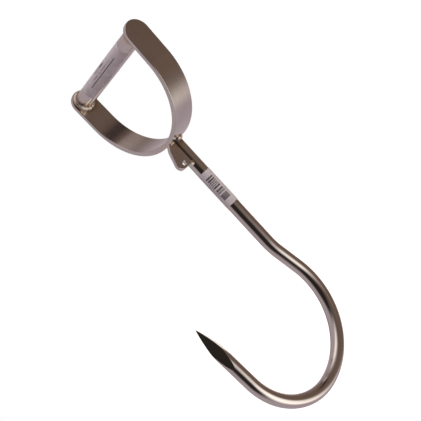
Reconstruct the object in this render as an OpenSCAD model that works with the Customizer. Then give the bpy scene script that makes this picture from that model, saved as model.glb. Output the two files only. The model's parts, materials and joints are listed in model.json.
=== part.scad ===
// Hand meat hook: a flat strap bent into a bow with a grip bar welded across it, and
// a one-piece round rod that is set back, bent into a hook and ground to a point.
// Millimetres. The origin is the middle of the grip bar, +Z runs up the shank, +X
// along the grip, and the hook's point stands on the -Y side of the shank.

/* [Handle] */
// Diameter of the round grip bar
grip_d = 16; // [12:0.5:18]
// Clear length of the grip between the two arms
grip_clear = 114; // [95:1:140]
// Width of the flat strap that the bow is bent from
strap_w = 24; // [22:1:32]
// Thickness of the flat strap
strap_t = 4; // [3:0.5:6]
// Drop from the grip's axis to the underside of the bow
bow_drop = 84; // [70:1:110]
// Outward lean of each arm, in degrees
arm_lean = 2.5; // [1:0.5:6]
// Height of each arm's rounded end above the grip's axis
arm_over = 11; // [10:0.5:16]

/* [Hook rod] */
// Diameter of the round rod
rod_d = 12; // [9:0.5:15]
// Straight length of the shank below the bow
shank_len = 117; // [90:1:160]
// Centreline radius of the set-back bend
setback_r = 60; // [30:1:90]
// Angle of the set-back bend
setback_a = 13; // [5:0.5:20]
// Straight link between the set-back bend and the hook's bend
link_len = 22; // [5:1:40]
// Centreline radius of the upper stretch of the hook's bend
upper_r = 68; // [50:1:85]
// Angle of the upper stretch
upper_a = 99; // [80:1:110]
// Centreline radius of the lower stretch of the hook's bend
lower_r = 52; // [35:1:65]
// Angle of the lower stretch
lower_a = 90; // [75:1:100]
// Straight length from the end of the bend to the point
leg_len = 63; // [55:0.5:90]
// How much thinner the rod's radius gets at each tighter bend
bend_thinning = 0.02; // [0.01:0.01:0.05]

/* [Ground point] */
// Length of the two flat facets, from root to point
flat_len = 44; // [30:1:50]
// Length of the two crowned facets, from root to point
crown_len = 35; // [25:1:45]
// Radius that the crowned facets are ground to
crown_r = 140; // [120:5:300]
// Turn of the flat facets about the leg, from the side of the hook
facet_turn = 45; // [0:5:90]
// Length stoned off the very tip
tip_blunt = 0.6; // [0.4:0.1:2]

/* [Lug] */
// Thickness of the lug's plate
lug_t = 4; // [2.5:0.5:5]
// Reach of the lug's top edge from the side of the rod
lug_top_out = 7; // [3:0.2:9]
// Reach of its shoulder, where the clipped top corner ends
lug_shoulder_out = 10.2; // [9:0.2:12]
// Drop of the shoulder below the bow
lug_shoulder_drop = 4.7; // [2:0.1:8]
// Reach of the lug's hole from the side of the rod
lug_hole_out = 7.2; // [5:0.2:12]
// Drop of the hole below the bow
lug_hole_drop = 20; // [12:0.2:30]
// Diameter of the hole
lug_hole_d = 4; // [3:0.5:5]
// Radius of the lug's rounded corner
lug_corner_r = 5.2; // [4.5:0.1:8]
// Drop of the rounded corner's centre below the bow
lug_corner_drop = 18.6; // [14:0.2:30]
// Reach of that centre from the side of the rod
lug_corner_out = 9.8; // [8:0.2:14]
// Fit-up gap between the lug's inner edge and the rod
lug_gap = 0.4; // [0.2:0.1:1]

/* [Welds] */
// Radius of the bead round each end of the grip
grip_bead_r = 2.6; // [2:0.2:3]
// Radius of the bead where the rod meets the bow
shank_bead_r = 2.6; // [2:0.2:4]
// Radius of the beads along the top of the lug
lug_bead_r = 1.6; // [1:0.1:2.5]
// Radius of the tack that ties the lug's lower corner to the rod
tack_r = 2.8; // [2.6:0.1:4]

/* [Labels] */
// Thickness of both paper labels
label_t = 0.15; // [0.1:0.05:0.4]
// Length of the grip's label, along the bar
grip_label_len = 76; // [40:1:85]
// Angle that the grip's label wraps round the bar
grip_label_wrap = 190; // [90:5:300]
// Length of the shank's label, along the rod
shank_label_len = 36.5; // [20:0.5:45]
// Angle that the shank's label wraps round the rod
shank_label_wrap = 220; // [90:5:300]
// Drop of the shank label's upper edge below the bow
shank_label_drop = 36.5; // [34:0.5:60]

/* [Hidden] */
$fn = 128;
bead_fn = 48;                 // sides of a weld bead's round section
crown_fn = 720;               // sides of the large circles that crown two facets

steel = [0.60, 0.56, 0.54];
weld_metal = [0.78, 0.73, 0.66];
paper = [0.72, 0.68, 0.72];

past = 10;                    // how far a cutting shape runs past what it cuts
seat = 0.5;                   // how far each stretch of rod runs on into the next bend
grip_r = grip_d / 2;
rod_r = rod_d / 2;
underside = -bow_drop;        // height where the shank starts, under the bow
grip_label_aim = 145;         // the grip label faces -Y and up, in degrees about +X from +Y
shank_label_aim = -39;        // the shank label faces between +X and -Y
shank_weld_open = 80;         // angle round the shank that the bead leaves to the lug

// The arms' centrelines cross the grip's axis at arm_x and touch the round bottom.
arm_x = grip_clear / 2 + strap_t / 2 / cos(arm_lean);
bow_r = (arm_x * cos(arm_lean) - (bow_drop - strap_t / 2) * sin(arm_lean)) / (1 - sin(arm_lean));
bow_z = underside + strap_t / 2 + bow_r;
bow_outer_r = bow_r + strap_t / 2;
arm_below = arm_x * sin(arm_lean) - bow_z * cos(arm_lean);

// The rod's path in the hook's plane, as [y, z]. A heading is in degrees from
// straight down, positive towards +Y. A bend's side is 1 with its centre to +Y.
function along(p, heading, d) = p + d * [sin(heading), -cos(heading)];
function bend_centre(p, heading, r, side) = p + side * r * [cos(heading), sin(heading)];
function bend_end(c, heading, r, side) = c - side * r * [cos(heading), sin(heading)];
mid_heading = setback_a - upper_a;
leg_heading = mid_heading - lower_a;
shank_end = [0, underside - shank_len];
setback_c = bend_centre(shank_end, 0, setback_r, 1);
link_start = bend_end(setback_c, setback_a, setback_r, 1);
link_end = along(link_start, setback_a, link_len);
upper_c = bend_centre(link_end, setback_a, upper_r, -1);
upper_end = bend_end(upper_c, mid_heading, upper_r, -1);
lower_c = bend_centre(upper_end, mid_heading, lower_r, -1);
leg_start = bend_end(lower_c, leg_heading, lower_r, -1);
upper_seat_a = atan2(seat, upper_r);

// The crowned facets' arc passes through the tip and meets the round rod crown_len
// from it. Its centre is given as [distance from the tip, distance from the axis].
chord = [crown_len, rod_r];
crown_rise = sqrt(crown_r * crown_r - chord * chord / 4);
crown_c = chord / 2 + crown_rise * [rod_r, -crown_len] / norm(chord);

// The lug's outer edge runs from its shoulder to touch the rounded corner
lug_hole = [-rod_r - lug_hole_out, underside - lug_hole_drop];
lug_corner = [-rod_r - lug_corner_out, underside - lug_corner_drop];
lug_top = [-rod_r - lug_top_out, underside];
lug_shoulder = [-rod_r - lug_shoulder_out, underside - lug_shoulder_drop];
lug_edge = lug_shoulder - lug_corner;
lug_touch_a = atan2(lug_edge[1], lug_edge[0]) + acos(lug_corner_r / norm(lug_edge));
lug_touch = lug_corner + lug_corner_r * [cos(lug_touch_a), sin(lug_touch_a)];

// The plate lies flush with the rod's +X side, and its inner edge just clears the rod
lug_x = rod_r - lug_t / 2;
lug_inner = -sqrt(rod_r * rod_r - pow(max(rod_r - lug_t, 0), 2)) - lug_gap;
lug_a = atan2(lug_inner, lug_x);
lug_foot = lug_corner[1] - lug_corner_r;

// Stands a drawing of [y, z] up in the hook's plane and thickens it both ways
module in_hook_plane(thick) {
    rotate([90, 0, 90]) linear_extrude(thick, center = true) children();
}

// Everything inside the round of the bow's outer face
module inside_bow_round() {
    translate([0, 0, bow_z]) rotate([90, 0, 0]) cylinder(r = bow_outer_r, h = 2 * strap_w, center = true);
}

// Everything past the inner face of the arm on one side
module past_arm(side) {
    block = 2 * strap_w;
    translate([side * arm_x, 0, 0]) rotate([0, side * arm_lean, 0])
        translate([side * (block - strap_t) / 2, 0, 0]) cube(block, center = true);
}

// The bow from the front: a round bottom that runs into two leaning arms
module bow_front() {
    corner = 2 * bow_r;
    translate([0, bow_z]) intersection() {
        difference() {
            circle(r = bow_outer_r);
            circle(r = bow_outer_r - strap_t);
        }
        polygon([[0, 0], corner * [cos(arm_lean), -sin(arm_lean)], [corner, -corner],
                 [-corner, -corner], corner * [-cos(arm_lean), -sin(arm_lean)]]);
    }
    for (side = [-1, 1]) translate([side * arm_x, 0]) rotate(-side * arm_lean)
        translate([-strap_t / 2, -arm_below]) square([strap_t, arm_below + arm_over + past]);
}

// The bow from the side: the strap's straight edges and the arms' round ends
module bow_side() {
    round_z = arm_over - strap_w / 2;
    translate([-strap_w / 2, underside - past]) square([strap_w, round_z - underside + past]);
    translate([0, round_z]) circle(d = strap_w);
}

module bow() {
    color(steel) intersection() {
        rotate([90, 0, 0]) linear_extrude(strap_w + past, center = true) bow_front();
        in_hook_plane(2 * (arm_x + past)) bow_side();
    }
}

module grip_bar() {
    color(steel) difference() {
        rotate([0, 90, 0]) cylinder(r = grip_r, h = grip_clear + past, center = true);
        for (side = [-1, 1]) past_arm(side);
    }
}

// A straight piece of rod from p along a heading
module rod_straight(p, heading, len) {
    translate([0, p[0], p[1]]) rotate([180 + heading, 0, 0]) cylinder(r = rod_r, h = len);
}

// A bend of the rod about c, between two angles from +Y in the hook's plane
module rod_bend(c, r, from, to, thinning) {
    translate([0, c[0], c[1]]) rotate([90, 0, 90])
        rotate_extrude(start = from, angle = to - from) translate([r, 0]) circle(r = rod_r - thinning);
}

// The flat facets as a wedge whose edge is at the tip, drawn as [across, along the leg]
module flat_facets() {
    clear = rod_r + 1;
    root = leg_len - clear * flat_len / rod_r;
    polygon([[0, leg_len], [clear, root], [clear, -past], [-clear, -past], [-clear, root]]);
}

// The crowned facets as two crossing arcs, and the full width of the leg below them
module crowned_facets() {
    clear = rod_r + crown_len / 10;
    intersection() {
        translate([crown_c[1], leg_len - crown_c[0]]) circle(r = crown_r, $fn = crown_fn);
        translate([-crown_c[1], leg_len - crown_c[0]]) circle(r = crown_r, $fn = crown_fn);
    }
    translate([-clear, -past]) square([2 * clear, leg_len - crown_c[0] + past]);
}

// The leg, with the four facets ground on its end
module leg_and_point() {
    translate([0, leg_start[0], leg_start[1]]) rotate([180 + leg_heading, 0, 0]) intersection() {
        translate([0, 0, -seat]) cylinder(r = rod_r, h = leg_len - tip_blunt + seat);
        rotate([90, 0, facet_turn]) linear_extrude(rod_d + past, center = true) crowned_facets();
        rotate([90, 0, facet_turn + 90]) linear_extrude(rod_d + past, center = true) flat_facets();
    }
}

module hook_rod() {
    color(steel) difference() {
        union() {
            rod_straight([0, underside + past], 0, past + shank_len + seat);
            rod_bend(setback_c, setback_r, 180, 180 + setback_a, bend_thinning);
            rod_straight(along(link_start, setback_a, -seat), setback_a, link_len + 2 * seat);
            rod_bend(upper_c, upper_r, mid_heading - upper_seat_a, setback_a, bend_thinning);
            rod_bend(lower_c, lower_r, leg_heading, mid_heading, 2 * bend_thinning);
            leg_and_point();
        }
        inside_bow_round();
    }
}

// The lug's outline: its top runs up into the round of the bow, where it is cut, and
// its inner edge is straight, so it clears the rod all the way down
module lug_outline() {
    top = underside + strap_t / 2;
    difference() {
        union() {
            polygon([[lug_inner, top], [lug_top[0], top], lug_top, lug_shoulder, lug_touch,
                     lug_corner, [lug_corner[0], lug_foot], [lug_inner, lug_foot]]);
            translate(lug_corner) circle(r = lug_corner_r);
        }
        translate([lug_inner, lug_foot - past]) square([rod_d + past, top - lug_foot + 2 * past]);
    }
}

module lug_plate() {
    difference() {
        translate([lug_x, 0, 0]) in_hook_plane(lug_t) lug_outline();
        inside_bow_round();
    }
}

module lug() {
    color(steel) difference() {
        lug_plate();
        translate([lug_x, 0, 0]) in_hook_plane(2 * lug_t) translate(lug_hole) circle(d = lug_hole_d);
    }
}

// The bead round one end of the grip, laid in the corner against the arm
module grip_weld(side) {
    color(weld_metal) difference() {
        translate([side * grip_clear / 2, 0, 0]) rotate([0, 90, 0])
            rotate_extrude() translate([grip_r, 0]) circle(r = grip_bead_r, $fn = bead_fn);
        rotate([0, 90, 0]) cylinder(r = grip_r, h = grip_clear + 2 * past, center = true);
        past_arm(side);
    }
}

module grip_weld_left() { grip_weld(-1); }
module grip_weld_right() { grip_weld(1); }

// The bead round the top of the shank, open where the lug stands
module shank_weld() {
    color(weld_metal) difference() {
        translate([0, 0, underside])
            rotate_extrude(start = lug_a + shank_weld_open / 2, angle = 360 - shank_weld_open)
                translate([rod_r, 0]) circle(r = shank_bead_r, $fn = bead_fn);
        translate([0, 0, underside]) cylinder(r = rod_r, h = 2 * past, center = true);
        inside_bow_round();
    }
}

// Two beads, one along each face of the lug's top edge, that stop short of its corner
// and of the strap's edge
module lug_beads() {
    run = min(lug_top_out, strap_w / 2 - rod_r) - lug_gap - lug_bead_r / 2;
    color(weld_metal) for (side = [-1, 1]) difference() {
        translate([lug_x + side * lug_t / 2, -rod_r - lug_gap, underside]) rotate([90, 0, 0])
            cylinder(r = lug_bead_r, h = run, $fn = bead_fn);
        lug_plate();
        inside_bow_round();
    }
}

module lug_tack() {
    color(weld_metal) difference() {
        translate([lug_x, lug_inner, lug_foot]) sphere(r = tack_r);
        lug_plate();
        translate([0, 0, lug_foot]) cylinder(r = rod_r, h = 2 * past, center = true);
    }
}

// A label stuck round a bar that lies along +Z, centred on angle aim
module wrapped_label(r, len, wrap, aim) {
    color(paper) rotate_extrude(start = aim - wrap / 2, angle = wrap)
        translate([r, -len / 2]) square([label_t, len]);
}

module grip_label() {
    rotate([90, 0, 90]) wrapped_label(grip_r, grip_label_len, grip_label_wrap, grip_label_aim);
}

module shank_label() {
    translate([0, 0, underside - shank_label_drop - shank_label_len / 2])
        wrapped_label(rod_r, shank_label_len, shank_label_wrap, shank_label_aim);
}

bow();
grip_bar();
hook_rod();
lug();
grip_weld_left();
grip_weld_right();
shank_weld();
lug_beads();
lug_tack();
grip_label();
shank_label();
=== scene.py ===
# %% [markdown]
# # A hand meat hook, dressed around its CAD frame
# The hook is one rigid weldment of stainless steel: a flat strap bent into a bow, a round grip
# welded across it, a round rod that is bent and ground into a hook, a small lug, the weld beads
# that join them, and two paper labels. The CAD model already fixes every size and place. Blender
# adds what a drawing leaves out: eased edges, grinding marks, rippled beads, heat tint, paper.

# %% Load the frame
import json
import math

import bmesh
import bpy
from mathutils import Matrix, Vector, noise


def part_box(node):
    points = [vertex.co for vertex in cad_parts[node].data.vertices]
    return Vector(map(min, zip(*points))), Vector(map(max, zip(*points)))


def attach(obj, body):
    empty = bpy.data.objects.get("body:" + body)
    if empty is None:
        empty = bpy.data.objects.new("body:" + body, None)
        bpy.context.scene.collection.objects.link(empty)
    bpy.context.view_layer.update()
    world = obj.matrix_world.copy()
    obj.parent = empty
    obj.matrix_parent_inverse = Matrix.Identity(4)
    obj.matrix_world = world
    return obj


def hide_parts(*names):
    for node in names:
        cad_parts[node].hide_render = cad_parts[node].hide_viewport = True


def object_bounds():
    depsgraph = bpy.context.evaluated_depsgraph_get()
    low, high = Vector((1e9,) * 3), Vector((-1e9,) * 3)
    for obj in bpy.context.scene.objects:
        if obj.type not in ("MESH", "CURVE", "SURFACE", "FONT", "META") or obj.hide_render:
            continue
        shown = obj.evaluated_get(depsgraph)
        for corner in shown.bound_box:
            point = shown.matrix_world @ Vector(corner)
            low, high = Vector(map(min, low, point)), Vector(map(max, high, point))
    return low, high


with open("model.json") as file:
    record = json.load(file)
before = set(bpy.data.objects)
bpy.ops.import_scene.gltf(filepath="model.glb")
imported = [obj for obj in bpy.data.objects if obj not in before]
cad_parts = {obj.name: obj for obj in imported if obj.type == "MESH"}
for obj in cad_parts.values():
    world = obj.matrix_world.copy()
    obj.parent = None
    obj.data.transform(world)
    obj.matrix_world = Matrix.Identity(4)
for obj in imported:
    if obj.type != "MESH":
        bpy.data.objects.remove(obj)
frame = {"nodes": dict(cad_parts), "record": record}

cad_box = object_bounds()
MM = 0.001
MICRON = 0.001 * MM
print("CAD box in mm:", [[round(c / MM, 1) for c in corner] for corner in cad_box])

# %% [markdown]
# ## Sizes
# What the frame can tell is read from it: the strap's width, the bar's and the rod's diameters,
# and how far the bow drops below the grip. The bends are the ones that the fabricator sets on the
# bench, so they are named here with the same values as in the CAD model.

# %% Read sizes from the frame and name the bends
bow_low, bow_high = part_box("bow")
grip_low, grip_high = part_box("grip_bar")
rod_low, rod_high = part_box("hook_rod")
strap_w = bow_high.y - bow_low.y
grip_r = (grip_high.z - grip_low.z) / 2
rod_r = (rod_high.x - rod_low.x) / 2
underside = bow_low.z

strap_t = 4 * MM
grip_clear = 114 * MM
arm_lean = math.radians(2.5)
shank_len = 117 * MM
leg_len = 63 * MM
link_len = 22 * MM
setback_r, setback_a = 60 * MM, math.radians(13)
upper_r, upper_a = 68 * MM, math.radians(99)
lower_r, lower_a = 52 * MM, math.radians(90)
print(f"strap {strap_w / MM:.1f} mm wide, grip {2 * grip_r / MM:.1f} mm, rod {2 * rod_r / MM:.1f} mm")

# %% [markdown]
# ## One way to finish every piece
# A piece starts as a bmesh. Before it is bent, each vertex remembers where it was on the straight
# bar, in an attribute called `straight`. The grinding marks read that attribute, so the grain
# follows the metal round every bend, as it does on a real bent bar. Edges turn sharp where two
# faces meet at a clear angle, where one of them is ground and the other isn't, and where a broad
# flat face meets the narrow strip of an eased edge. So a flat face mirrors as flat, to its border.

# %% Helpers for making pieces
CREASE = math.radians(32)
SLIGHT_TURN = math.radians(4)
BROAD = 5.0          # how many times a broad face outsizes an eased edge's strip
CUT_SNAP = 0.1 * MICRON
MERGE_DIST = 1 * MICRON


def turns_sharp(edge):
    """Whether the shading breaks at an edge."""
    if len(edge.link_faces) != 2:
        return False
    first, second = edge.link_faces
    turn = edge.calc_face_angle(0)
    small, large = sorted((first.calc_area(), second.calc_area()))
    eased = large > BROAD * small and turn > SLIGHT_TURN
    return eased or turn > CREASE or first.material_index != second.material_index


def remember_straight(bm):
    """Stores where each vertex lies on the straight, unbent piece."""
    straight = bm.verts.layers.float_vector.new("straight")
    for vert in bm.verts:
        vert[straight] = vert.co
    return straight


def bend(bm, place):
    """Moves every vertex from the straight piece to its place on the bent one."""
    for vert in bm.verts:
        vert.co = place(vert.co)


def finish_piece(name, bm, materials, nodes):
    """Makes a bmesh an object that rides on the hook and stands for its CAD nodes."""
    bmesh.ops.recalc_face_normals(bm, faces=bm.faces)
    for face in bm.faces:
        face.smooth = True
    for edge in bm.edges:
        edge.smooth = not turns_sharp(edge)
    open_edges = sum(1 for edge in bm.edges if len(edge.link_faces) != 2)
    mesh = bpy.data.meshes.new(name)
    bm.to_mesh(mesh)
    bm.free()
    for material in materials:
        mesh.materials.append(material)
    piece = bpy.data.objects.new(name, mesh)
    bpy.context.scene.collection.objects.link(piece)
    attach(piece, "root")
    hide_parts(*nodes)
    print(f"{name}: {len(mesh.polygons)} faces, {open_edges} open edges")
    return piece


def extrude_along(bm, edges, direction, stations):
    """Carries a loop of edges along a direction, through each distance in turn."""
    reached = 0.0
    for station in stations:
        made = bmesh.ops.extrude_edge_only(bm, edges=edges)["geom"]
        edges = [g for g in made if isinstance(g, bmesh.types.BMEdge)]
        verts = [g for g in made if isinstance(g, bmesh.types.BMVert)]
        bmesh.ops.translate(bm, verts=verts, vec=direction * (station - reached))
        reached = station
    return edges


def steps(start, end, count):
    """Evenly spaced distances after start, up to and including end."""
    return [start + (end - start) * (i + 1) / count for i in range(count)]


def cut_plane(bm, place, normal, **cleared):
    """Cuts the piece with a plane, drops the cleared side if one is named, and gives the new edges."""
    cut = bmesh.ops.bisect_plane(bm, geom=bm.verts[:] + bm.edges[:] + bm.faces[:], dist=CUT_SNAP,
                                 plane_co=place, plane_no=normal, **cleared)
    return [g for g in cut["geom_cut"] if isinstance(g, bmesh.types.BMEdge)]


# %% [markdown]
# ## Materials: what brushed stainless is made of
# Stainless bar isn't one flat grey. It carries fine scratches along its length, a slow cloudiness
# from polishing by hand, and straw and brown heat tint beside each weld, whose darker bands also
# paint the shade in the corners where the parts meet. All of these are shared by several pieces, so
# each is a node group that is built once. A group only gives colours, masks and heights. The shader
# itself stays in each material, where its gloss is set.

# %% Helpers for wiring shader nodes
def socket(tree, name, kind, is_input, value=None):
    """Adds a named input or output to a node group."""
    side = "INPUT" if is_input else "OUTPUT"
    made = tree.interface.new_socket(name=name, in_out=side, socket_type=kind)
    if value is not None:
        made.default_value = value
    return made


def put(tree, kind, **inputs):
    """Adds a node, and sets or links the inputs that are given by name."""
    node = tree.nodes.new(kind)
    for name, value in inputs.items():
        plug = node.inputs[int(name[1:])] if name[1:].isdigit() else node.inputs[name.replace("_", " ")]
        if isinstance(value, bpy.types.NodeSocket):
            tree.links.new(value, plug)
        else:
            plug.default_value = value
    return node


def maths(tree, operation, first, second=0.0, clamp=False):
    """A Math node's result."""
    node = put(tree, "ShaderNodeMath", i0=first, i1=second)
    node.operation = operation
    node.use_clamp = clamp
    return node.outputs[0]


def blend_colour(tree, share, first, second):
    """A mix of two colours, by a share from 0 to 1."""
    node = tree.nodes.new("ShaderNodeMix")
    node.data_type = "RGBA"
    for plug, value in ((node.inputs[0], share), (node.inputs[6], first), (node.inputs[7], second)):
        if isinstance(value, bpy.types.NodeSocket):
            tree.links.new(value, plug)
        else:
            plug.default_value = value
    return node.outputs[2]


def remap(tree, value, low, high, to_low=0.0, to_high=1.0):
    """Carries a value from one range to another, and stops at its ends."""
    node = put(tree, "ShaderNodeMapRange", Value=value, From_Min=low, From_Max=high,
               To_Min=to_low, To_Max=to_high)
    node.clamp = True
    return node.outputs[0]


def new_group(name, inputs, outputs):
    """An empty shader node group with its sockets, and its two end nodes."""
    tree = bpy.data.node_groups.new(name, "ShaderNodeTree")
    for label, kind, value in inputs:
        socket(tree, label, kind, True, value)
    for label, kind in outputs:
        socket(tree, label, kind, False)
    return tree, tree.nodes.new("NodeGroupInput"), tree.nodes.new("NodeGroupOutput")


# %% [markdown]
# ### Grain
# A belt or a drawing die leaves scratches that run one way. Noise that is stretched along the
# scratches gives them: a fine one for single scratches, a middle one for streaks, and a broad,
# unstretched one for the cloudiness of hand polishing. The group takes the point on the straight
# bar and how much longer than wide a scratch is along each axis.

# %% Node group: grain
SCRATCHES_PER_M = 5200.0
STREAKS_PER_M = 1300.0
CLOUDS_PER_M = 45.0
DARK_END, PALE_END = 0.3, 0.7    # where a noise's values nearly all lie


def grain_group():
    tree, start, end = new_group(
        "grain",
        [("Point", "NodeSocketVector", None), ("Stretch", "NodeSocketVector", (1.0, 1.0, 1.0)),
         ("Fineness", "NodeSocketFloat", 1.0)],
        [("Scratches", "NodeSocketFloat"), ("Streaks", "NodeSocketFloat"), ("Cloud", "NodeSocketFloat")])
    squeezed = tree.nodes.new("ShaderNodeVectorMath")
    squeezed.operation = "MULTIPLY"
    tree.links.new(start.outputs["Point"], squeezed.inputs[0])
    tree.links.new(start.outputs["Stretch"], squeezed.inputs[1])
    fine_scale = maths(tree, "MULTIPLY", start.outputs["Fineness"], SCRATCHES_PER_M)
    streak_scale = maths(tree, "MULTIPLY", start.outputs["Fineness"], STREAKS_PER_M)
    fine = put(tree, "ShaderNodeTexNoise", Vector=squeezed.outputs[0], Scale=fine_scale, Detail=2.0)
    streak = put(tree, "ShaderNodeTexNoise", Vector=squeezed.outputs[0], Scale=streak_scale, Detail=3.0)
    cloud = put(tree, "ShaderNodeTexNoise", Vector=start.outputs["Point"], Scale=CLOUDS_PER_M, Detail=2.0)
    for plug, node in (("Scratches", fine), ("Streaks", streak), ("Cloud", cloud)):
        tree.links.new(remap(tree, node.outputs["Fac"], DARK_END, PALE_END), end.inputs[plug])
    return tree


grain = grain_group()
print("grain group:", [s.name for s in grain.interface.items_tree])

# %% [markdown]
# ### Heat tint and painted shade
# Beside a weld, stainless oxidises in bands: pale straw furthest out, then brown, then a bluish
# grey right at the bead. The bands follow the distance from the weld, so the group takes that
# distance, wavers it with noise and returns a colour and how strong it is. The welds sit in the
# corners where the parts meet, so the dark bands near the bead are also painted shade there.

# %% Node group: heat tint and painted shade
WAVER_PER_M = 260.0
WAVER_SHARE = 0.5
# Colours by distance from a weld: heat tint, whose dark bands near the bead also paint the shade in the
# corner.
HEAT_TINT_AND_SHADE_BANDS = {
    0.0: (0.30, 0.30, 0.36, 1),
    0.22: (0.36, 0.25, 0.20, 1),
    0.5: (0.60, 0.46, 0.28, 1),
    0.75: (0.68, 0.60, 0.48, 1),
    1.0: (0.62, 0.58, 0.55, 1),
}


def heat_tint_and_shade_group():
    tree, start, end = new_group(
        "heat tint and painted shade",
        [("Point", "NodeSocketVector", None), ("Distance", "NodeSocketFloat", 1.0),
         ("Near", "NodeSocketFloat", 0.005), ("Reach", "NodeSocketFloat", 0.008)],
        [("Colour", "NodeSocketColor"), ("Strength", "NodeSocketFloat")])
    waver = put(tree, "ShaderNodeTexNoise", Vector=start.outputs["Point"], Scale=WAVER_PER_M, Detail=2.0)
    beyond = maths(tree, "SUBTRACT", start.outputs["Distance"], start.outputs["Near"])
    shifted = maths(tree, "ADD", maths(tree, "DIVIDE", beyond, start.outputs["Reach"]),
                    maths(tree, "MULTIPLY", maths(tree, "SUBTRACT", waver.outputs["Fac"], 0.5), WAVER_SHARE))
    ramp = put(tree, "ShaderNodeValToRGB", Fac=shifted)
    bands = ramp.color_ramp.elements
    for position, colour in HEAT_TINT_AND_SHADE_BANDS.items():
        band = next((b for b in bands if b.position == position), None) or bands.new(position)
        band.color = colour
    tree.links.new(ramp.outputs["Color"], end.inputs["Colour"])
    tree.links.new(remap(tree, shifted, 0.15, 1.0, 1.0, 0.0), end.inputs["Strength"])
    return tree


heat_tint_and_shade = heat_tint_and_shade_group()
print("heat tint and painted shade group:", [s.name for s in heat_tint_and_shade.interface.items_tree])

# %% [markdown]
# ### Distance from a weld
# Every weld here is a ring, or part of one, round a straight bar. Its distance is measured in the
# shader from Object coordinates: how far along the bar from the ring, and how far out from it.

# %% Helpers for points and distances in a material
def object_point(tree):
    """The point in the hook's own frame."""
    return tree.nodes.new("ShaderNodeTexCoord").outputs["Object"]


def straight_point(tree):
    """The point on the straight, unbent bar."""
    node = tree.nodes.new("ShaderNodeAttribute")
    node.attribute_name = "straight"
    return node.outputs["Vector"]


def distance_from(tree, point, centre, squeeze=(1.0, 1.0, 1.0)):
    """Distance from a place, with each axis stretched or squeezed."""
    node = put(tree, "ShaderNodeMapping", Vector=point, Scale=squeeze)
    node.vector_type = "POINT"
    node.inputs["Location"].default_value = [-c * s for c, s in zip(centre, squeeze)]
    length = tree.nodes.new("ShaderNodeVectorMath")
    length.operation = "LENGTH"
    tree.links.new(node.outputs[0], length.inputs[0])
    return length.outputs["Value"]


# %% [markdown]
# ### The steel
# One function makes each steel finish: the strap's, the rod's, the grip's and the ground point's
# differ in how the scratches run, how glossy they are and how deep the scratches cut. Metallic is
# 1 and the base colour is stainless steel's own. The scratches change the roughness and the bump,
# the cloud dulls patches, and the heat tint comes in from the welds, with painted shade in the
# corners where they are.

# %% Material: steel
STEEL = (0.63, 0.60, 0.58, 1.0)
STEEL_DULL = (0.46, 0.43, 0.415, 1.0)
STEEL_GROUND = (0.40, 0.38, 0.36, 1.0)
CLOUD_DULLS = 0.35
STREAKS_DULL = 0.35
TINT_AND_SHADE_SHARE = 0.75
GLOSSIEST, ROUGHEST = 0.82, 1.2
CLOUD_ROUGHENS = 0.25
SCRATCH_SHARE, STREAK_SHARE = 0.4, 0.6


def steel(name, stretch, roughness, scratch_depth, welds=(), straight=True, fineness=1.0, dull=STEEL_DULL):
    """One finish. stretch is how a scratch runs, and straight is for pieces that were bent."""
    material = bpy.data.materials.new(name)
    material.use_nodes = True
    tree = material.node_tree
    shader = tree.nodes["Principled BSDF"]
    where = object_point(tree)
    grain_point = straight_point(tree) if straight else where
    marks = tree.nodes.new("ShaderNodeGroup")
    marks.node_tree = grain
    tree.links.new(grain_point, marks.inputs["Point"])
    marks.inputs["Stretch"].default_value = stretch
    marks.inputs["Fineness"].default_value = fineness
    dullness = maths(tree, "MULTIPLY", marks.outputs["Cloud"], CLOUD_DULLS)
    dullness = maths(tree, "ADD", dullness, maths(tree, "MULTIPLY", marks.outputs["Streaks"], STREAKS_DULL))
    colour = blend_colour(tree, dullness, STEEL, dull)
    # Heat tint from each weld, which also paints the shade in the corner at the weld.
    for centre, squeeze, near, reach in welds:
        tint = tree.nodes.new("ShaderNodeGroup")
        tint.node_tree = heat_tint_and_shade
        tree.links.new(where, tint.inputs["Point"])
        tree.links.new(distance_from(tree, where, centre, squeeze), tint.inputs["Distance"])
        tint.inputs["Near"].default_value = near
        tint.inputs["Reach"].default_value = reach
        share = maths(tree, "MULTIPLY", tint.outputs["Strength"], TINT_AND_SHADE_SHARE)
        colour = blend_colour(tree, share, colour, tint.outputs["Colour"])
    tree.links.new(colour, shader.inputs["Base Color"])
    shader.inputs["Metallic"].default_value = 1.0
    rough = remap(tree, marks.outputs["Streaks"], 0.0, 1.0, roughness * GLOSSIEST, roughness * ROUGHEST)
    clouded = maths(tree, "MULTIPLY", marks.outputs["Cloud"], roughness * CLOUD_ROUGHENS)
    rough = maths(tree, "ADD", rough, clouded)
    tree.links.new(rough, shader.inputs["Roughness"])
    height = maths(tree, "ADD", maths(tree, "MULTIPLY", marks.outputs["Scratches"], SCRATCH_SHARE),
                   maths(tree, "MULTIPLY", marks.outputs["Streaks"], STREAK_SHARE))
    bump = put(tree, "ShaderNodeBump", Height=height, Strength=1.0, Distance=scratch_depth)
    tree.links.new(bump.outputs["Normal"], shader.inputs["Normal"])
    print(f"{name}: roughness {roughness}, scratches {scratch_depth / MICRON:.1f} microns deep")
    return material


ALONG_X = (0.02, 1.0, 1.0)
ALONG_Z = (1.0, 1.0, 0.02)
ACROSS = (0.05, 0.05, 1.0)
ring_x = grip_clear / 2
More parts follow.
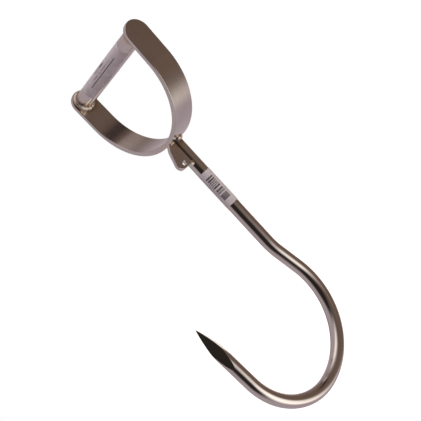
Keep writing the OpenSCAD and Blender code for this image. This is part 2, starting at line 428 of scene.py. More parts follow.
# A weld is given by its place, the squeeze of its distance, and where its tint and painted shade start and
# how far they reach.
grip_welds = [((side * ring_x, 0, 0), (1.0, 0.62, 0.62), 5.4 * MM, 7 * MM) for side in (-1, 1)]
arm_welds = [((side * ring_x, 0, 0), (3.2, 0.62, 0.62), 6.4 * MM, 4 * MM) for side in (-1, 1)]
shank_weld_place = ((0, 0, underside), (0.8, 0.8, 1.0), 5.2 * MM, 8 * MM)
strap_steel = steel("strap_steel", ALONG_X, 0.15, 3.0 * MICRON, arm_welds + [shank_weld_place])
rod_steel = steel("rod_steel", ALONG_Z, 0.085, 1.0 * MICRON, [shank_weld_place])
ground_steel = steel("ground_steel", ACROSS, 0.16, 2.0 * MICRON, fineness=0.5, dull=STEEL_GROUND)
grip_steel = steel("grip_steel", ALONG_X, 0.16, 1.5 * MICRON, grip_welds, straight=False)
lug_steel = steel("lug_steel", ALONG_Z, 0.22, 3.0 * MICRON, [shank_weld_place], straight=False)

# %% [markdown]
# ### Weld metal
# A bead is cast metal: no grain, a little uneven, with straw tint in its valleys. Both of its colours
# are painted brighter than the bar, a painted highlight that stands in for the bright light on the
# beads. Slow noise mixes the two colours, and fine noise pits the surface and its gloss.

# %% Material: weld metal
# Both bead colours are painted lighter than the bar's steel: a painted highlight on the weld metal and on
# its straw tint.
BEAD_STEEL_AND_HIGHLIGHT = (0.80, 0.76, 0.70, 1.0)
BEAD_STRAW_AND_HIGHLIGHT = (0.66, 0.57, 0.46, 1.0)
TINTS_PER_M = 420.0
PITS_PER_M = 2600.0
PIT_DEPTH = 40 * MICRON
BEAD_ROUGHNESS = (0.32, 0.48)


def weld_metal():
    material = bpy.data.materials.new("weld_metal")
    material.use_nodes = True
    tree = material.node_tree
    shader = tree.nodes["Principled BSDF"]
    where = object_point(tree)
    tints = put(tree, "ShaderNodeTexNoise", Vector=where, Scale=TINTS_PER_M, Detail=3.0)
    pits = put(tree, "ShaderNodeTexNoise", Vector=where, Scale=PITS_PER_M, Detail=2.0)
    tint = remap(tree, tints.outputs["Fac"], 0.35, 0.65)
    colour = blend_colour(tree, tint, BEAD_STEEL_AND_HIGHLIGHT, BEAD_STRAW_AND_HIGHLIGHT)
    tree.links.new(colour, shader.inputs["Base Color"])
    shader.inputs["Metallic"].default_value = 1.0
    rough = remap(tree, pits.outputs["Fac"], DARK_END, PALE_END, *BEAD_ROUGHNESS)
    tree.links.new(rough, shader.inputs["Roughness"])
    bump = put(tree, "ShaderNodeBump", Height=pits.outputs["Fac"], Strength=1.0, Distance=PIT_DEPTH)
    tree.links.new(bump.outputs["Normal"], shader.inputs["Normal"])
    return material


bead_metal = weld_metal()
print(f"{bead_metal.name}: pits {PIT_DEPTH / MICRON:.0f} microns deep")

# %% [markdown]
# ## The rod's path
# The rod is one length of bar. It is ground while it is still straight, then bent cold round
# formers: a slight set-back first, then the hook's wide bend in two radii. The same order is
# followed here. First the path is described as a few stretches, each straight or bent. Then a
# function finds where any point of the straight rod ends up on the bent one.

# %% The rod's path
def rod_path():
    """Stretches of the path: start distance, length, turn in radians (towards +Y), place, heading."""
    stretches = []
    distance, place, heading = 0.0, Vector((0, 0, underside)), 0.0
    plan = [(shank_len, 0), (setback_r * setback_a, setback_a), (link_len, 0),
            (upper_r * upper_a, -upper_a), (lower_r * lower_a, -lower_a), (leg_len, 0)]
    for length, turn in plan:
        stretches.append((distance, length, turn, place.copy(), heading))
        place, heading = travel(place, heading, length, turn, length)
        distance += length
    return stretches, distance


def travel(place, heading, length, turn, distance):
    """Where a stretch has got to after a distance, and which way it heads there."""
    if turn == 0:
        return place + distance * Vector((0, math.sin(heading), -math.cos(heading))), heading
    radius = length / turn
    centre = place + radius * Vector((0, math.cos(heading), math.sin(heading)))
    heading += turn * distance / length
    return centre - radius * Vector((0, math.cos(heading), math.sin(heading))), heading


stretches, rod_len = rod_path()
tip_place = travel(*stretches[-1][3:], leg_len, 0, leg_len)[0]
print(f"rod {rod_len / MM:.0f} mm along its axis, point at {[round(c / MM, 1) for c in tip_place]}")

# %% Bend the straight rod
BEND_DRAW = 0.06 * MM
DRAW_RUN = 6 * MM
SLACK = 1e-9
upper_starts, lower_ends = stretches[3][0], stretches[5][0]


def stretch_at(reach):
    """The stretch of the path that a distance along the rod lies on."""
    return next(s for s in reversed(stretches) if reach >= s[0] - SLACK)


def drawn_in(reach):
    """How much thinner the bar gets where it is drawn round a former: nothing on the straights."""
    start, length, turn = stretch_at(reach)[:3]
    if turn == 0:
        return 0.0
    into_bend = reach - (upper_starts if start >= upper_starts else start)
    out_of_bend = (lower_ends if start >= upper_starts else start + length) - reach
    return BEND_DRAW * min(into_bend / DRAW_RUN, out_of_bend / DRAW_RUN, 1.0)


def bend_rod(point):
    """A point on the straight rod, x across, y in the hook's plane and z along, on the bent rod."""
    reach = max(point.z, 0.0)
    start, length, turn, place, heading = stretch_at(reach)
    centre, heading = travel(place, heading, length, turn, reach - start)
    centre = centre + min(point.z, 0.0) * Vector((0, 0, -1))
    x, y = (1 - drawn_in(reach) / rod_r) * point.xy
    return centre + Vector((x, y * math.cos(heading), y * math.sin(heading)))


# %% [markdown]
# ## The rod and its ground point
# A circle is extruded along the straight bar, with close rings only where it will bend. The point
# is then ground: each pass of the wheel is one cut with `bisect_plane`, and the cut is filled. Two
# long flat facets face the sides of the hook at 45 degrees. Between them two facets are crowned,
# so they are ground in several passes that follow an arc. Ground faces get a material of their own.

# %% Extrude the straight rod
ROD_SIDES = 72
FEWEST_RINGS = 6
RING_TURN = math.radians(1.8)    # how much of a bend lies between two rings
EMBED = 1.5 * MM                 # how far the rod runs up into the bow, out of sight
TIP_BLUNT = 0.6 * MM


def straight_rod():
    bm = bmesh.new()
    circle = bmesh.ops.create_circle(bm, radius=rod_r, segments=ROD_SIDES, cap_ends=True,
                                     matrix=Matrix.Translation((0, 0, -EMBED)))
    rim = list({edge for vert in circle["verts"] for edge in vert.link_edges})
    stations = [EMBED]
    for start, length, turn in (stretch[:3] for stretch in stretches):
        count = max(FEWEST_RINGS, round(abs(turn) / RING_TURN))
        stations += [EMBED + station for station in steps(start, start + length, count)]
    rim = extrude_along(bm, rim, Vector((0, 0, 1)), stations)
    bmesh.ops.edgeloop_fill(bm, edges=rim)
    return bm


# %% Grind the point
FLAT_LEN = 44 * MM
CROWN_LEN = 35 * MM
CROWN_R = 140 * MM
CROWN_PASSES = 14
FACET_TURN = math.radians(45)


def grind(bm, place, normal):
    """One pass of the wheel: cuts away what is outside a plane, and closes the cut."""
    filled = bmesh.ops.edgeloop_fill(bm, edges=cut_plane(bm, place, normal, clear_outer=True))
    for face in filled["faces"]:
        face.material_index = 1


def crown_arc():
    """The crowned facet's arc, as distances from the tip and from the axis: its centre and angles."""
    chord = Vector((CROWN_LEN, rod_r))
    rise = math.sqrt(CROWN_R ** 2 - chord.length_squared / 4)
    centre = chord / 2 + rise * Vector((rod_r, -CROWN_LEN)) / chord.length
    at_tip = math.atan2(-centre.y, -centre.x)
    at_root = math.atan2(rod_r - centre.y, CROWN_LEN - centre.x)
    return centre, at_tip, at_root


def grind_point(bm):
    tip = Vector((0, 0, rod_len))
    slope = math.atan2(rod_r, FLAT_LEN)
    for side in (-1, 1):
        out = side * Vector((math.cos(FACET_TURN), math.sin(FACET_TURN), 0))
        grind(bm, tip, out * math.cos(slope) + Vector((0, 0, math.sin(slope))))
    centre, at_tip, at_root = crown_arc()
    for side in (-1, 1):
        out = side * Vector((math.sin(FACET_TURN), -math.cos(FACET_TURN), 0))
        for turn in range(CROWN_PASSES):
            angle = at_tip + (at_root - at_tip) * (turn + 0.5) / CROWN_PASSES
            away, off = Vector((math.cos(angle), math.sin(angle)))
            touch = centre + CROWN_R * Vector((away, off))
            place = tip + out * touch.y - Vector((0, 0, touch.x))
            grind(bm, place, out * off - Vector((0, 0, away)))
    grind(bm, tip - Vector((0, 0, TIP_BLUNT)), Vector((0, 0, 1)))


rod_mesh = straight_rod()
grind_point(rod_mesh)
remember_straight(rod_mesh)
bend(rod_mesh, bend_rod)
finish_piece("hook_rod_bent", rod_mesh, [rod_steel, ground_steel], ["hook_rod"])

# %% [markdown]
# ## The bow
# The bow is a flat strap with round ends and eased edges, bent round a former. Only half of it is
# made: a half disc for the round end, carried towards the middle by its straight edge. It gets its
# thickness, its edges are bevelled as a deburring wheel would leave them, and then it is bent. A
# mirror gives the other half. Bending a finished flat strap keeps the eased edge even all round.

# %% Bend geometry of the bow
bow_drop = -underside
arm_x = grip_clear / 2 + strap_t / 2 / math.cos(arm_lean)
arm_offset = arm_x * math.cos(arm_lean) - (bow_drop - strap_t / 2) * math.sin(arm_lean)
bow_r = arm_offset / (1 - math.sin(arm_lean))
bow_z = underside + strap_t / 2 + bow_r
arm_turn = math.pi / 2 - arm_lean
arc_len = bow_r * arm_turn
arm_start = Vector((bow_r * math.sin(arm_turn), 0, bow_z - bow_r * math.cos(arm_turn)))
arm_len = (bow_high.z - arm_start.z) / math.sin(arm_turn) - strap_t / 2 * math.tan(arm_lean)
print(f"bow bent to {bow_r / MM:.1f} mm on its centreline, arms {arm_len / MM:.1f} mm straight")


def bend_strap(point):
    """A point on the flat strap, x along from the middle and z through it, on the bent bow."""
    turn = min(point.x / bow_r, arm_turn)
    along = Vector((math.cos(turn), 0, math.sin(turn)))
    inward = Vector((-math.sin(turn), 0, math.cos(turn)))
    centre = Vector((0, 0, bow_z)) - bow_r * inward
    return centre + max(point.x - arc_len, 0.0) * along + point.z * inward + Vector((0, point.y, 0))


# %% Make the strap and bend it
EASE = 0.5 * MM
ROUND_END_SIDES = 72
ARM_RINGS = 8
ARC_RINGS = 60


def thicken(bm, thickness, up):
    """Gives a flat sheet of faces its thickness."""
    made = bmesh.ops.extrude_face_region(bm, geom=bm.faces[:])["geom"]
    bmesh.ops.translate(bm, verts=[g for g in made if isinstance(g, bmesh.types.BMVert)],
                        vec=up * thickness)


def ease_edges(bm, offset, least_angle=60, segments=3):
    """Bevels the edges that are sharper than an angle."""
    sharp = [e for e in bm.edges if len(e.link_faces) == 2
             and e.calc_face_angle(0) > math.radians(least_angle)]
    bmesh.ops.bevel(bm, geom=sharp, offset=offset, offset_type="OFFSET", affect="EDGES",
                    segments=segments, profile=0.5, material=-1)


def half_strap():
    bm = bmesh.new()
    bmesh.ops.create_circle(bm, radius=strap_w / 2, segments=ROUND_END_SIDES, cap_ends=True)
    straight_edge = cut_plane(bm, (0, 0, 0), (1, 0, 0), clear_inner=True)
    end_centre = arc_len + arm_len - strap_w / 2
    bmesh.ops.translate(bm, verts=bm.verts[:], vec=(end_centre, 0, -strap_t / 2))
    back = steps(0.0, end_centre - arc_len, ARM_RINGS)
    back += steps(end_centre - arc_len, end_centre, ARC_RINGS)
    extrude_along(bm, straight_edge, Vector((-1, 0, 0)), back)
    thicken(bm, strap_t, Vector((0, 0, 1)))
    middle = [f for f in bm.faces if all(v.co.x < CUT_SNAP for v in f.verts)]
    bmesh.ops.delete(bm, geom=middle, context="FACES")
    ease_edges(bm, EASE)
    return bm


bow_mesh = half_strap()
straight = remember_straight(bow_mesh)
bend(bow_mesh, bend_strap)
bmesh.ops.mirror(bow_mesh, geom=bow_mesh.verts[:] + bow_mesh.edges[:] + bow_mesh.faces[:],
                 axis="X", merge_dist=MERGE_DIST)
bmesh.ops.remove_doubles(bow_mesh, verts=bow_mesh.verts[:], dist=MERGE_DIST)
for vert in bow_mesh.verts:
    if vert.co.x < 0:
        vert[straight].x = -abs(vert[straight].x)
finish_piece("bow_strap", bow_mesh, [strap_steel], ["bow"])

# %% [markdown]
# ## The grip bar
# The bar is plain round stock, and it sits between two arms that lean outwards, so each of its
# ends is cut to the arm's slope. Its CAD solid already has exactly that shape, so the CAD node
# stays, and only gets the steel finish. Its bar is straight, so Object coordinates serve as grain.

# %% Finish the grip bar
bar = frame["nodes"]["grip_bar"]
bar.data.materials.clear()
bar.data.materials.append(grip_steel)
print(f"grip bar: {len(bar.data.polygons)} faces, finished with {grip_steel.name}")

# %% [markdown]
# ## The lug
# The lug is a piece of 4 mm plate that lies flush with the side of the rod. It is filed to shape: a
# straight inner edge, a slanted outer one, a clipped top corner and a round lower one by its hole.
# It starts as a square of plate. Each straight edge is one cut, and the round corner is a row of
# small cuts that all touch the same circle, as a file goes round it. The sheet is then filled
# between its outline and the hole, thickened and eased.

# %% Make the lug
LUG_T = 4 * MM
LUG_TOP_OUT = 7 * MM
LUG_GAP = 0.4 * MM
LUG_SHOULDER_OUT = 10.2 * MM
LUG_SHOULDER_DROP = 4.7 * MM
LUG_CORNER_R = 5.2 * MM
LUG_CORNER_OUT = 9.8 * MM
LUG_CORNER_DROP = 18.6 * MM
LUG_EASE = 0.35 * MM
FILE_STROKES = 22
HOLE_SIDES = 48
PLATE_STOCK = 30 * MM
lug_hole = next(m for m in frame["record"]["mounts"] if m["name"] == "lug_hole")
hole_place = Vector(lug_hole["pos_m"])
hole_r = lug_hole["dims"]["r_mm"] * MM
lug_x = rod_r - LUG_T / 2
lug_inner = -math.sqrt(rod_r ** 2 - (rod_r - LUG_T) ** 2) - LUG_GAP
lug_top = Vector((0, -rod_r - LUG_TOP_OUT, underside))
lug_shoulder = Vector((0, -rod_r - LUG_SHOULDER_OUT, underside - LUG_SHOULDER_DROP))
lug_corner = Vector((0, -rod_r - LUG_CORNER_OUT, underside - LUG_CORNER_DROP))
FACE_X = Matrix.Rotation(math.pi / 2, 4, "Y")


def lug_sheet():
    bm = bmesh.new()
    bmesh.ops.create_grid(bm, x_segments=1, y_segments=1, size=PLATE_STOCK,
                          matrix=Matrix.Translation(hole_place) @ FACE_X)
    cut_plane(bm, (0, lug_inner, 0), (0, 1, 0), clear_outer=True)
    cut_plane(bm, (0, 0, underside + EASE), (0, 0, 1), clear_outer=True)
    clipped = lug_shoulder - lug_top
    cut_plane(bm, lug_top, (0, clipped.z, -clipped.y), clear_outer=True)
    outer = lug_shoulder - lug_corner
    edge_turn = math.atan2(outer.z, outer.y) + math.acos(LUG_CORNER_R / outer.length)
    foot_turn = math.radians(270)
    for turn in [foot_turn] + steps(foot_turn, edge_turn, FILE_STROKES):
        out = Vector((0, math.cos(turn), math.sin(turn)))
        cut_plane(bm, lug_corner + LUG_CORNER_R * out, out, clear_outer=True)
    bmesh.ops.delete(bm, geom=bm.faces[:], context="FACES_ONLY")
    bmesh.ops.create_circle(bm, radius=hole_r, segments=HOLE_SIDES,
                            matrix=Matrix.Translation(hole_place) @ FACE_X)
    bmesh.ops.triangle_fill(bm, edges=bm.edges[:], use_beauty=True, use_dissolve=False)
    return bm


lug_mesh = lug_sheet()
bmesh.ops.translate(lug_mesh, verts=lug_mesh.verts[:], vec=(-LUG_T / 2, 0, 0))
thicken(lug_mesh, LUG_T, Vector((1, 0, 0)))
ease_edges(lug_mesh, LUG_EASE)
finish_piece("lug_plate", lug_mesh, [lug_steel], ["lug"])

# %% [markdown]
# ## The weld beads
# A hand-laid bead is a row of frozen ripples, each a little pool that overlapped the last. Its
# width wanders, and its two ends are round. A bead is made straight here: a circle extruded in
# fine steps, with its ends drawn in, and each ring scaled by the ripple that it is in. Then it is
# laid in its corner by the same `bend` as the bars. Half of the bead is inside the metal that it
# joins, which is what a weld does, and keeps the piece closed.

# %% Helper: a rippled bead
BEAD_SIDES = 20
RIPPLE_PITCH = 1.15 * MM
RIPPLE_DEPTH = 0.022
RIPPLE_STEPS, FEWEST_STEPS = 7, 24
RIPPLE_LAG = 0.42
WANDER_LEN = 4.5 * MM
WANDER = 0.11
END_CAP = 0.05       # how small a bead's end ring is, as a share of its radius


def bead(length, radius, place, seed=0.0):
    """A bead along z, rippled and round at both ends, then laid by a place function."""
    bm = bmesh.new()
    ring = bmesh.ops.create_circle(bm, radius=1.0, segments=BEAD_SIDES, cap_ends=True)["verts"]
    rim = list({edge for vert in ring for edge in vert.link_edges})
    count = max(FEWEST_STEPS, round(length / RIPPLE_PITCH * RIPPLE_STEPS))
    rim = extrude_along(bm, rim, Vector((0, 0, 1)), steps(0.0, length, count))
    bmesh.ops.edgeloop_fill(bm, edges=rim)
    for vert in bm.verts:
        across = Vector((vert.co.x, vert.co.y, 0)).normalized()
        from_end = min(vert.co.z, length - vert.co.z, radius) / radius
        round_end = math.sqrt(max(1 - (1 - from_end) ** 2, 0.0)) * (1 - END_CAP) + END_CAP
        ripple = vert.co.z / RIPPLE_PITCH + RIPPLE_LAG * across.x
        crest = abs(math.sin(math.pi * ripple)) - 1
        waver = noise.noise(Vector((seed, 0.0, vert.co.z / WANDER_LEN)))
        size = radius * round_end * (1 + RIPPLE_DEPTH * crest - WANDER * abs(waver))
        vert.co = Vector((across.x * size, across.y * size, vert.co.z))
    bend(bm, place)
    return bm


# %% [markdown]
# The grip's bead runs all the way round the bar, and its end ties in over its start. The one round
# the shank stops on either side of the lug, where the lug's own two beads take over.

# %% Lay the beads
GRIP_BEAD_R = 2.5 * MM
SHANK_BEAD_R = 2.5 * MM
LUG_BEAD_R = 1.55 * MM
TIE_IN = math.radians(14)
SHANK_WELD_OPEN = math.radians(80)


def round_grip(side):
    """Lays a bead round the end of the grip. It starts at the bottom, out of the hand's way."""
    def place(point):
        turn = point.z / grip_r - math.pi / 2
        reach = grip_r + point.x
        return Vector((side * (ring_x + point.y), reach * math.cos(turn), reach * math.sin(turn)))
    return place


def round_shank(point):
    """Lays a bead round the top of the shank, from one side of the lug to the other."""
    turn = point.z / rod_r + math.atan2(lug_inner, lug_x) + SHANK_WELD_OPEN / 2
    reach = rod_r + point.x
    return Vector((reach * math.cos(turn), reach * math.sin(turn), underside + point.y))


def along_lug(side):
    """Lays a bead out along one face of the lug, in the corner under the bow."""
    def place(point):
        across = lug_x + side * (LUG_T / 2 + point.x)
        return Vector((across, -rod_r - LUG_GAP - point.z, underside + point.y))
    return place


for side, node in ((-1, "grip_weld_left"), (1, "grip_weld_right")):
    ring = bead(grip_r * (2 * math.pi + TIE_IN), GRIP_BEAD_R, round_grip(side), seed=side)
    finish_piece(node + "_bead", ring, [bead_metal], [node])
shank_ring = bead(rod_r * (2 * math.pi - SHANK_WELD_OPEN), SHANK_BEAD_R, round_shank, seed=5.0)
finish_piece("shank_bead", shank_ring, [bead_metal], ["shank_weld"])

LUG_BEAD_LEN = strap_w / 2 - rod_r - LUG_GAP - LUG_BEAD_R / 2
lug_pair = bmesh.new()
for side in (-1, 1):
    one = bead(LUG_BEAD_LEN, LUG_BEAD_R, along_lug(side), seed=side + 8.0)
    bmesh.ops.recalc_face_normals(one, faces=one.faces)
    scratch = bpy.data.meshes.new("one_bead")
    one.to_mesh(scratch)
    one.free()
    lug_pair.from_mesh(scratch)
    bpy.data.meshes.remove(scratch)
finish_piece("lug_bead_pair", lug_pair, [bead_metal], ["lug_beads"])

# %% [markdown]
# The lug's lower corner is held by one tack: a single pool of metal, higher in its middle, with a
# few rings frozen into it. It starts as a sphere and the rings and dents are pushed into it.

# %% Lay the tack
TACK_R = 2.7 * MM
TACK_SQUASH = 0.93
TACK_RINGS, RING_DEPTH = 9.0, 0.02
DENT_SCALE, DENT_DEPTH = 1.7, 0.07


def tack():
    bm = bmesh.new()
    bmesh.ops.create_uvsphere(bm, u_segments=40, v_segments=28, radius=TACK_R)
    for vert in bm.verts:
        out = vert.co.normalized()
        rings = math.cos(out.x * TACK_RINGS) * RING_DEPTH
        dent = noise.noise(vert.co / TACK_R * DENT_SCALE) * DENT_DEPTH
        vert.co *= TACK_SQUASH + rings + dent
    bmesh.ops.translate(bm, verts=bm.verts[:], vec=(lug_x, lug_inner, lug_corner.z - LUG_CORNER_R))
    return bm


finish_piece("lug_tack_pool", tack(), [bead_metal], ["lug_tack"])

# %% [markdown]
# ## The paper labels
# The labels are plain coated paper, and their print is generic: bars and lines that say nothing. A
# real label is printed flat and then wrapped, so this one is too. The print is drawn in the shader
# from the flat coordinates: x runs round the bar and y along it, both from the label's middle.
# Each printed bar is a band between two values. Random bar widths come from White Noise, which
# gives one value per cell, so the code has the look of a barcode and holds no message.

# %% Helpers for print
def within(tree, value, centre, half):
    """1 where a value is within half of a centre, and 0 elsewhere."""
    node = put(tree, "ShaderNodeMath", i0=value, i1=centre, i2=half)
    node.operation = "COMPARE"
    return node.outputs[0]


def box_mask(tree, x, y, centre, half):
    """1 inside an upright box."""
    return maths(tree, "MULTIPLY", within(tree, x, centre[0], half[0]), within(tree, y, centre[1], half[1]))


def cells(tree, value, size, seed):
    """One random value for each cell along an axis."""
    cell = maths(tree, "FLOOR", maths(tree, "DIVIDE", value, size))
    node = tree.nodes.new("ShaderNodeTexWhiteNoise")
    node.noise_dimensions = "1D"
    tree.links.new(maths(tree, "ADD", cell, seed), node.inputs["W"])
    return node.outputs["Value"]


def random_cells(tree, x, y, centre, half, size, seed, share):
    """Random bars across an upright box, stacked along y."""
    printed = maths(tree, "LESS_THAN", cells(tree, y, size, seed), share)
    return maths(tree, "MULTIPLY", printed, box_mask(tree, x, y, centre, half))


# %% Material: a printed paper label
PAPER = (0.60, 0.555, 0.58, 1.0)
PAPER_WORN = (0.50, 0.455, 0.48, 1.0)
INK = (0.035, 0.03, 0.035, 1.0)
FIBRES_PER_M = 900.0
FIBRE_DEPTH = 10 * MICRON
PAPER_ROUGHNESS = (0.42, 0.6)
SCUFFS_PER_M = 120.0
SCUFFED_SHARE = 0.75     # how much of the ink is left where the label is scuffed


def paper_label(name, prints):
    """Paper with a list of prints. Each is a function of the tree, x and y, and a strength."""
    material = bpy.data.materials.new(name)
    material.use_nodes = True
    tree = material.node_tree
    shader = tree.nodes["Principled BSDF"]
    flat = straight_point(tree)
    split = put(tree, "ShaderNodeSeparateXYZ", Vector=flat)
    x, y = split.outputs["X"], split.outputs["Y"]
    fibre = put(tree, "ShaderNodeTexNoise", Vector=flat, Scale=FIBRES_PER_M, Detail=4.0)
    scuff = put(tree, "ShaderNodeTexNoise", Vector=flat, Scale=SCUFFS_PER_M, Detail=3.0)
    worn = remap(tree, scuff.outputs["Fac"], 0.45, 0.7)
    colour = blend_colour(tree, worn, PAPER, PAPER_WORN)
    for print_mask, strength in prints:
        faded = remap(tree, scuff.outputs["Fac"], 0.35, 0.7, strength, strength * SCUFFED_SHARE)
        colour = blend_colour(tree, maths(tree, "MULTIPLY", print_mask(tree, x, y), faded), colour, INK)
    tree.links.new(colour, shader.inputs["Base Color"])
    rough = remap(tree, fibre.outputs["Fac"], DARK_END, PALE_END, *PAPER_ROUGHNESS)
    tree.links.new(rough, shader.inputs["Roughness"])
    bump = put(tree, "ShaderNodeBump", Height=fibre.outputs["Fac"], Strength=1.0, Distance=FIBRE_DEPTH)
    tree.links.new(bump.outputs["Normal"], shader.inputs["Normal"])
    return material


# %% The prints on the two labels
CODE_SHARE = 0.62        # how many of a code's cells are inked
WORDS_SHARE = 0.74


def rule(centre, half):
    """A solid printed box."""
    return lambda tree, x, y: box_mask(tree, x, y, centre, half)


def code(centre, half, bar, seed):
    """A block of random bars."""
    return lambda tree, x, y: random_cells(tree, x, y, centre, half, bar, seed, CODE_SHARE)


def words(centre, half, dash, seed):
    """A row of uneven dashes, in place of a line of words."""
    return lambda tree, x, y: random_cells(tree, x, y, centre, half, dash, seed, WORDS_SHARE)


shank_print = [
    (rule((0.3 * MM, 11.4 * MM), (3.6 * MM, 0.8 * MM)), 1.0),
    (rule((0.3 * MM, 8.9 * MM), (3.6 * MM, 0.8 * MM)), 1.0),
    (code((0.3 * MM, 2.4 * MM), (3.6 * MM, 5.0 * MM), 0.8 * MM, 3.0), 0.95),
    (code((0.3 * MM, -7.8 * MM), (3.6 * MM, 5.2 * MM), 0.7 * MM, 11.0), 0.8),
    (words((-4.6 * MM, 0.0), (0.4 * MM, 10 * MM), 0.8 * MM, 4.0), 0.4)]
grip_print = [
    (rule((5.2 * MM, 0.0), (0.42 * MM, 25 * MM)), 0.95),
    (rule((-6.2 * MM, 0.0), (0.24 * MM, 25 * MM)), 0.7),
    (words((2.6 * MM, 2.0 * MM), (0.5 * MM, 17 * MM), 1.5 * MM, 7.0), 0.6),
    (words((-1.4 * MM, -2.0 * MM), (1.3 * MM, 10.5 * MM), 1.6 * MM, 21.0), 0.85),
    (words((-4.2 * MM, 0.0), (0.4 * MM, 20 * MM), 1.2 * MM, 33.0), 0.6)]
shank_paper = paper_label("shank_paper", shank_print)
grip_paper = paper_label("grip_paper", grip_print)
print("prints on the shank label:", len(shank_print), "and on the grip label:", len(grip_print))

# %% Wrap the labels
PAPER_T = 0.11 * MM
PAPER_CLEAR = 0.02 * MM
LABEL_CORNER_R = 1.5 * MM
SLICE = 0.35 * MM


def flat_label(width, length):
    """A flat sheet with round corners, cut finely round the bar so that it wraps smoothly."""
    bm = bmesh.new()
    bmesh.ops.create_grid(bm, x_segments=1, y_segments=1, size=0.5)
    bmesh.ops.scale(bm, verts=bm.verts[:], vec=(width, length, 1))
    bmesh.ops.bevel(bm, geom=bm.verts[:], offset=LABEL_CORNER_R, offset_type="OFFSET",
                    affect="VERTICES", segments=6, profile=0.5, material=-1)
    for cut in steps(-width / 2, width / 2, round(width / SLICE))[:-1]:
        cut_plane(bm, (cut, 0, 0), (1, 0, 0))
    remember_straight(bm)
    thicken(bm, PAPER_T, Vector((0, 0, 1)))
    return bm


def wrap_label(name, width, length, radius, aim, axes, middle, material, node):
    """Wraps a flat label round a bar. axes are the bar's two cross axes and its long axis."""
    first, second, long_axis = axes
    def place(point):
        turn = aim + point.x / radius
        reach = radius + PAPER_CLEAR + point.z
        return middle + reach * (math.cos(turn) * first + math.sin(turn) * second) + point.y * long_axis
    bm = flat_label(width, length)
    bend(bm, place)
    finish_piece(name, bm, [material], [node])


X, Y, Z = Vector((1, 0, 0)), Vector((0, 1, 0)), Vector((0, 0, 1))
SHANK_WRAP, SHANK_AIM = math.radians(218), math.radians(-39)
GRIP_WRAP, GRIP_AIM = math.radians(188), math.radians(145)
shank_low, shank_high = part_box("shank_label")
shank_middle = Vector((0, 0, (shank_low.z + shank_high.z) / 2))
grip_label_low, grip_label_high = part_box("grip_label")
wrap_label("shank_label_paper", rod_r * SHANK_WRAP, shank_high.z - shank_low.z, rod_r,
           SHANK_AIM, (X, Y, Z), shank_middle, shank_paper, "shank_label")
wrap_label("grip_label_paper", grip_r * GRIP_WRAP, grip_label_high.x - grip_label_low.x, grip_r,
           GRIP_AIM, (Y, Z, X), Vector((0, 0, 0)), grip_paper, "grip_label")

# %% [markdown]
# ## Camera
# The camera looks almost level at the hook's side, from between +X and -Y, and is rolled so that
# the shank runs down to the right. A long lens keeps the perspective gentle.

# %% Place the camera
AIM = Vector((8.1, -28.8, -148.0)) * MM
CAMERA_FAR = 843.3 * MM
AZIMUTH, ELEVATION, ROLL = math.radians(-37.50), math.radians(1.88), math.radians(-42.64)
LENS, SENSOR = 86.0, 36.0
CLIP_NEAR, CLIP_FAR = 0.01, 60.0

to_camera = Vector((math.cos(ELEVATION) * math.cos(AZIMUTH), math.cos(ELEVATION) * math.sin(AZIMUTH),
                    math.sin(ELEVATION)))
level = Z.cross(to_camera).normalized()
upright = to_camera.cross(level)
right = math.cos(ROLL) * level + math.sin(ROLL) * upright
up = to_camera.cross(right)
camera_data = bpy.data.cameras.new("camera")
camera_data.lens, camera_data.sensor_width = LENS, SENSOR
camera_data.clip_start, camera_data.clip_end = CLIP_NEAR, CLIP_FAR
camera = bpy.data.objects.new("camera", camera_data)
bpy.context.scene.collection.objects.link(camera)
turn_camera = Matrix((right, up, to_camera)).transposed().to_4x4()
camera.matrix_world = Matrix.Translation(AIM + CAMERA_FAR * to_camera) @ turn_camera
bpy.context.scene.camera = camera
print("camera at", [round(c, 3) for c in camera.matrix_world.translation])

# %% [markdown]
# ## Studio
# Bare metal shows its surroundings, so the studio is mostly what the metal sees. It is a pale tent
# with a soft lamp on each side, and the dark opening that the camera looks through. Above it a
# warm brown room shows, with a pale gap, darker walls and a doorway. A lamp and a shade on the far
# side serve the views from behind. Each is a soft oval patch in the world's shader, and a later
# patch lies over an earlier one. A patch is placed by its angle from the camera, its clock angle
# round it and its own turn, and then has a width, a height and an even core. The camera itself
# sees plain white past the hook. One area light adds a soft key for the paper labels.

# %% World: a helper that draws one soft oval patch
def dot(tree, direction, axis):
    """How far a direction goes along an axis."""
    node = put(tree, "ShaderNodeVectorMath", i0=direction, i1=tuple(axis))
    node.operation = "DOT_PRODUCT"
    return node.outputs["Value"]


def patch_mask(tree, direction, off_axis, clock, turn, width, height, core):
    """1 inside a soft oval on the sky. Angles are in degrees, and core is its share that is even."""
    off_axis, clock, turn = (math.radians(angle) for angle in (off_axis, clock, turn))
    outward = math.cos(clock) * right + math.sin(clock) * up
    centre = math.sin(off_axis) * outward + math.cos(off_axis) * to_camera
    towards = math.cos(off_axis) * outward - math.sin(off_axis) * to_camera
    sideways = math.cos(clock) * up - math.sin(clock) * right
    wide = math.cos(turn) * sideways + math.sin(turn) * towards
    high = centre.cross(wide)
    across = maths(tree, "POWER", dot(tree, direction, wide / width), 2.0)
    along = maths(tree, "POWER", dot(tree, direction, high / height), 2.0)
    distance = maths(tree, "SQRT", maths(tree, "ADD", across, along))
    soft = put(tree, "ShaderNodeMapRange", Value=distance, From_Min=core, From_Max=1.0,
               To_Min=1.0, To_Max=0.0)
    soft.interpolation_type = "SMOOTHSTEP"
    facing = maths(tree, "GREATER_THAN", dot(tree, direction, centre), 0.0)
    return maths(tree, "MULTIPLY", soft.outputs[0], facing)


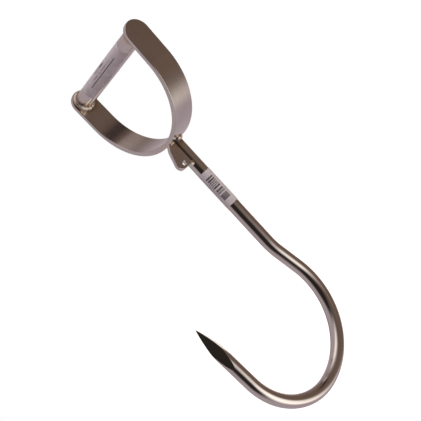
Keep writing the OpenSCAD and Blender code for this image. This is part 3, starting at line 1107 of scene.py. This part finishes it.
# %% World: the tent and its patches
TENT = (0.56, 0.475, 0.505, 1.0)
WHITE = (1, 1, 1, 1)
PATCHES = {
    "right lamp": ((64, -4, 68, 1.0, 0.65, 0.43), (1.9, 1.74, 1.6, 1)),
    "left lamp": ((65, 117, -61, 0.71, 0.48, 0.14), (1.45, 1.28, 1.18, 1)),
    "warm room": ((104, 53, 15, 1.02, 0.9, 0.65), (0.22, 0.155, 0.125, 1)),
    "pale gap": ((100, 100, 139, 0.09, 0.46, 0.71), (0.586, 0.479, 0.455, 1)),
    "brown wall": ((87, 62, 91, 0.22, 0.44, 0.92), (0.129, 0.085, 0.07, 1)),
    "opening's brown edge": ((35, 62, 100, 0.89, 0.5, 0.4), (0.19, 0.135, 0.10, 1)),
    "opening": ((20, 226, 0, 0.88, 0.80, 0.5), (0.032, 0.027, 0.022, 1)),
    "brown strip": ((89, 55, -257, 0.16, 0.64, 0.69), (0.211, 0.136, 0.097, 1)),
    "dark doorway": ((82, 72, 91, 0.13, 0.24, 0.5), (0.045, 0.033, 0.035, 1)),
    "far lamp": ((150, 30, 20, 0.5, 0.22, 0.35), (1.6, 1.46, 1.36, 1)),
    "far shade": ((148, 205, 0, 0.5, 0.3, 0.4), (0.14, 0.1, 0.085, 1)),
}


def build_world():
    world = bpy.data.worlds.new("studio")
    world.use_nodes = True
    tree = world.node_tree
    background = tree.nodes["Background"]
    direction = tree.nodes.new("ShaderNodeTexCoord").outputs["Generated"]
    colour = TENT
    for place, patch_colour in PATCHES.values():
        colour = blend_colour(tree, patch_mask(tree, direction, *place), colour, patch_colour)
    seen = tree.nodes.new("ShaderNodeLightPath").outputs["Is Camera Ray"]
    tree.links.new(blend_colour(tree, seen, colour, WHITE), background.inputs["Color"])
    bpy.context.scene.world = world
    print("patches:", list(PATCHES))


build_world()
bpy.context.scene.view_settings.view_transform = "Standard"

# %% Key light and floor
KEY_FAR, KEY_SIZE, KEY_WATTS = 1.4, 0.9, 9.0
KEY_RAISED, KEY_OVERHEAD = 0.7, 0.5
FLOOR_DROP, FLOOR_SIZE = 1.0, 40.0
FLOOR_PALE, FLOOR_ROUGH, FLOOR_GLOW = (0.9, 0.9, 0.9, 1), 0.9, 0.8


def key_light():
    data = bpy.data.lights.new("key", "AREA")
    data.shape, data.size, data.energy = "DISK", KEY_SIZE, KEY_WATTS
    key = bpy.data.objects.new("key", data)
    bpy.context.scene.collection.objects.link(key)
    direction = (to_camera + KEY_RAISED * up + KEY_OVERHEAD * Z).normalized()
    aimed = direction.to_track_quat("Z", "Y").to_matrix().to_4x4()
    key.matrix_world = Matrix.Translation(AIM + KEY_FAR * direction) @ aimed
    key.visible_glossy = False
    key.visible_camera = False


def pale_floor():
    bm = bmesh.new()
    bmesh.ops.create_grid(bm, x_segments=2, y_segments=2, size=FLOOR_SIZE / 2,
                          matrix=Matrix.Translation((0, 0, cad_box[0][2] - FLOOR_DROP)))
    mesh = bpy.data.meshes.new("floor")
    bm.to_mesh(mesh)
    bm.free()
    material = bpy.data.materials.new("floor")
    material.use_nodes = True
    shader = material.node_tree.nodes["Principled BSDF"]
    shader.inputs["Base Color"].default_value = FLOOR_PALE
    shader.inputs["Roughness"].default_value = FLOOR_ROUGH
    shader.inputs["Emission Color"].default_value = WHITE
    shader.inputs["Emission Strength"].default_value = FLOOR_GLOW
    mesh.materials.append(material)
    floor = bpy.data.objects.new("floor", mesh)
    bpy.context.scene.collection.objects.link(floor)
    floor.visible_glossy = False
    floor.visible_diffuse = False
    return floor


key_light()
pale_floor()
print(f"key light of {KEY_WATTS:.0f} W, floor {FLOOR_DROP:.1f} m below the hook")
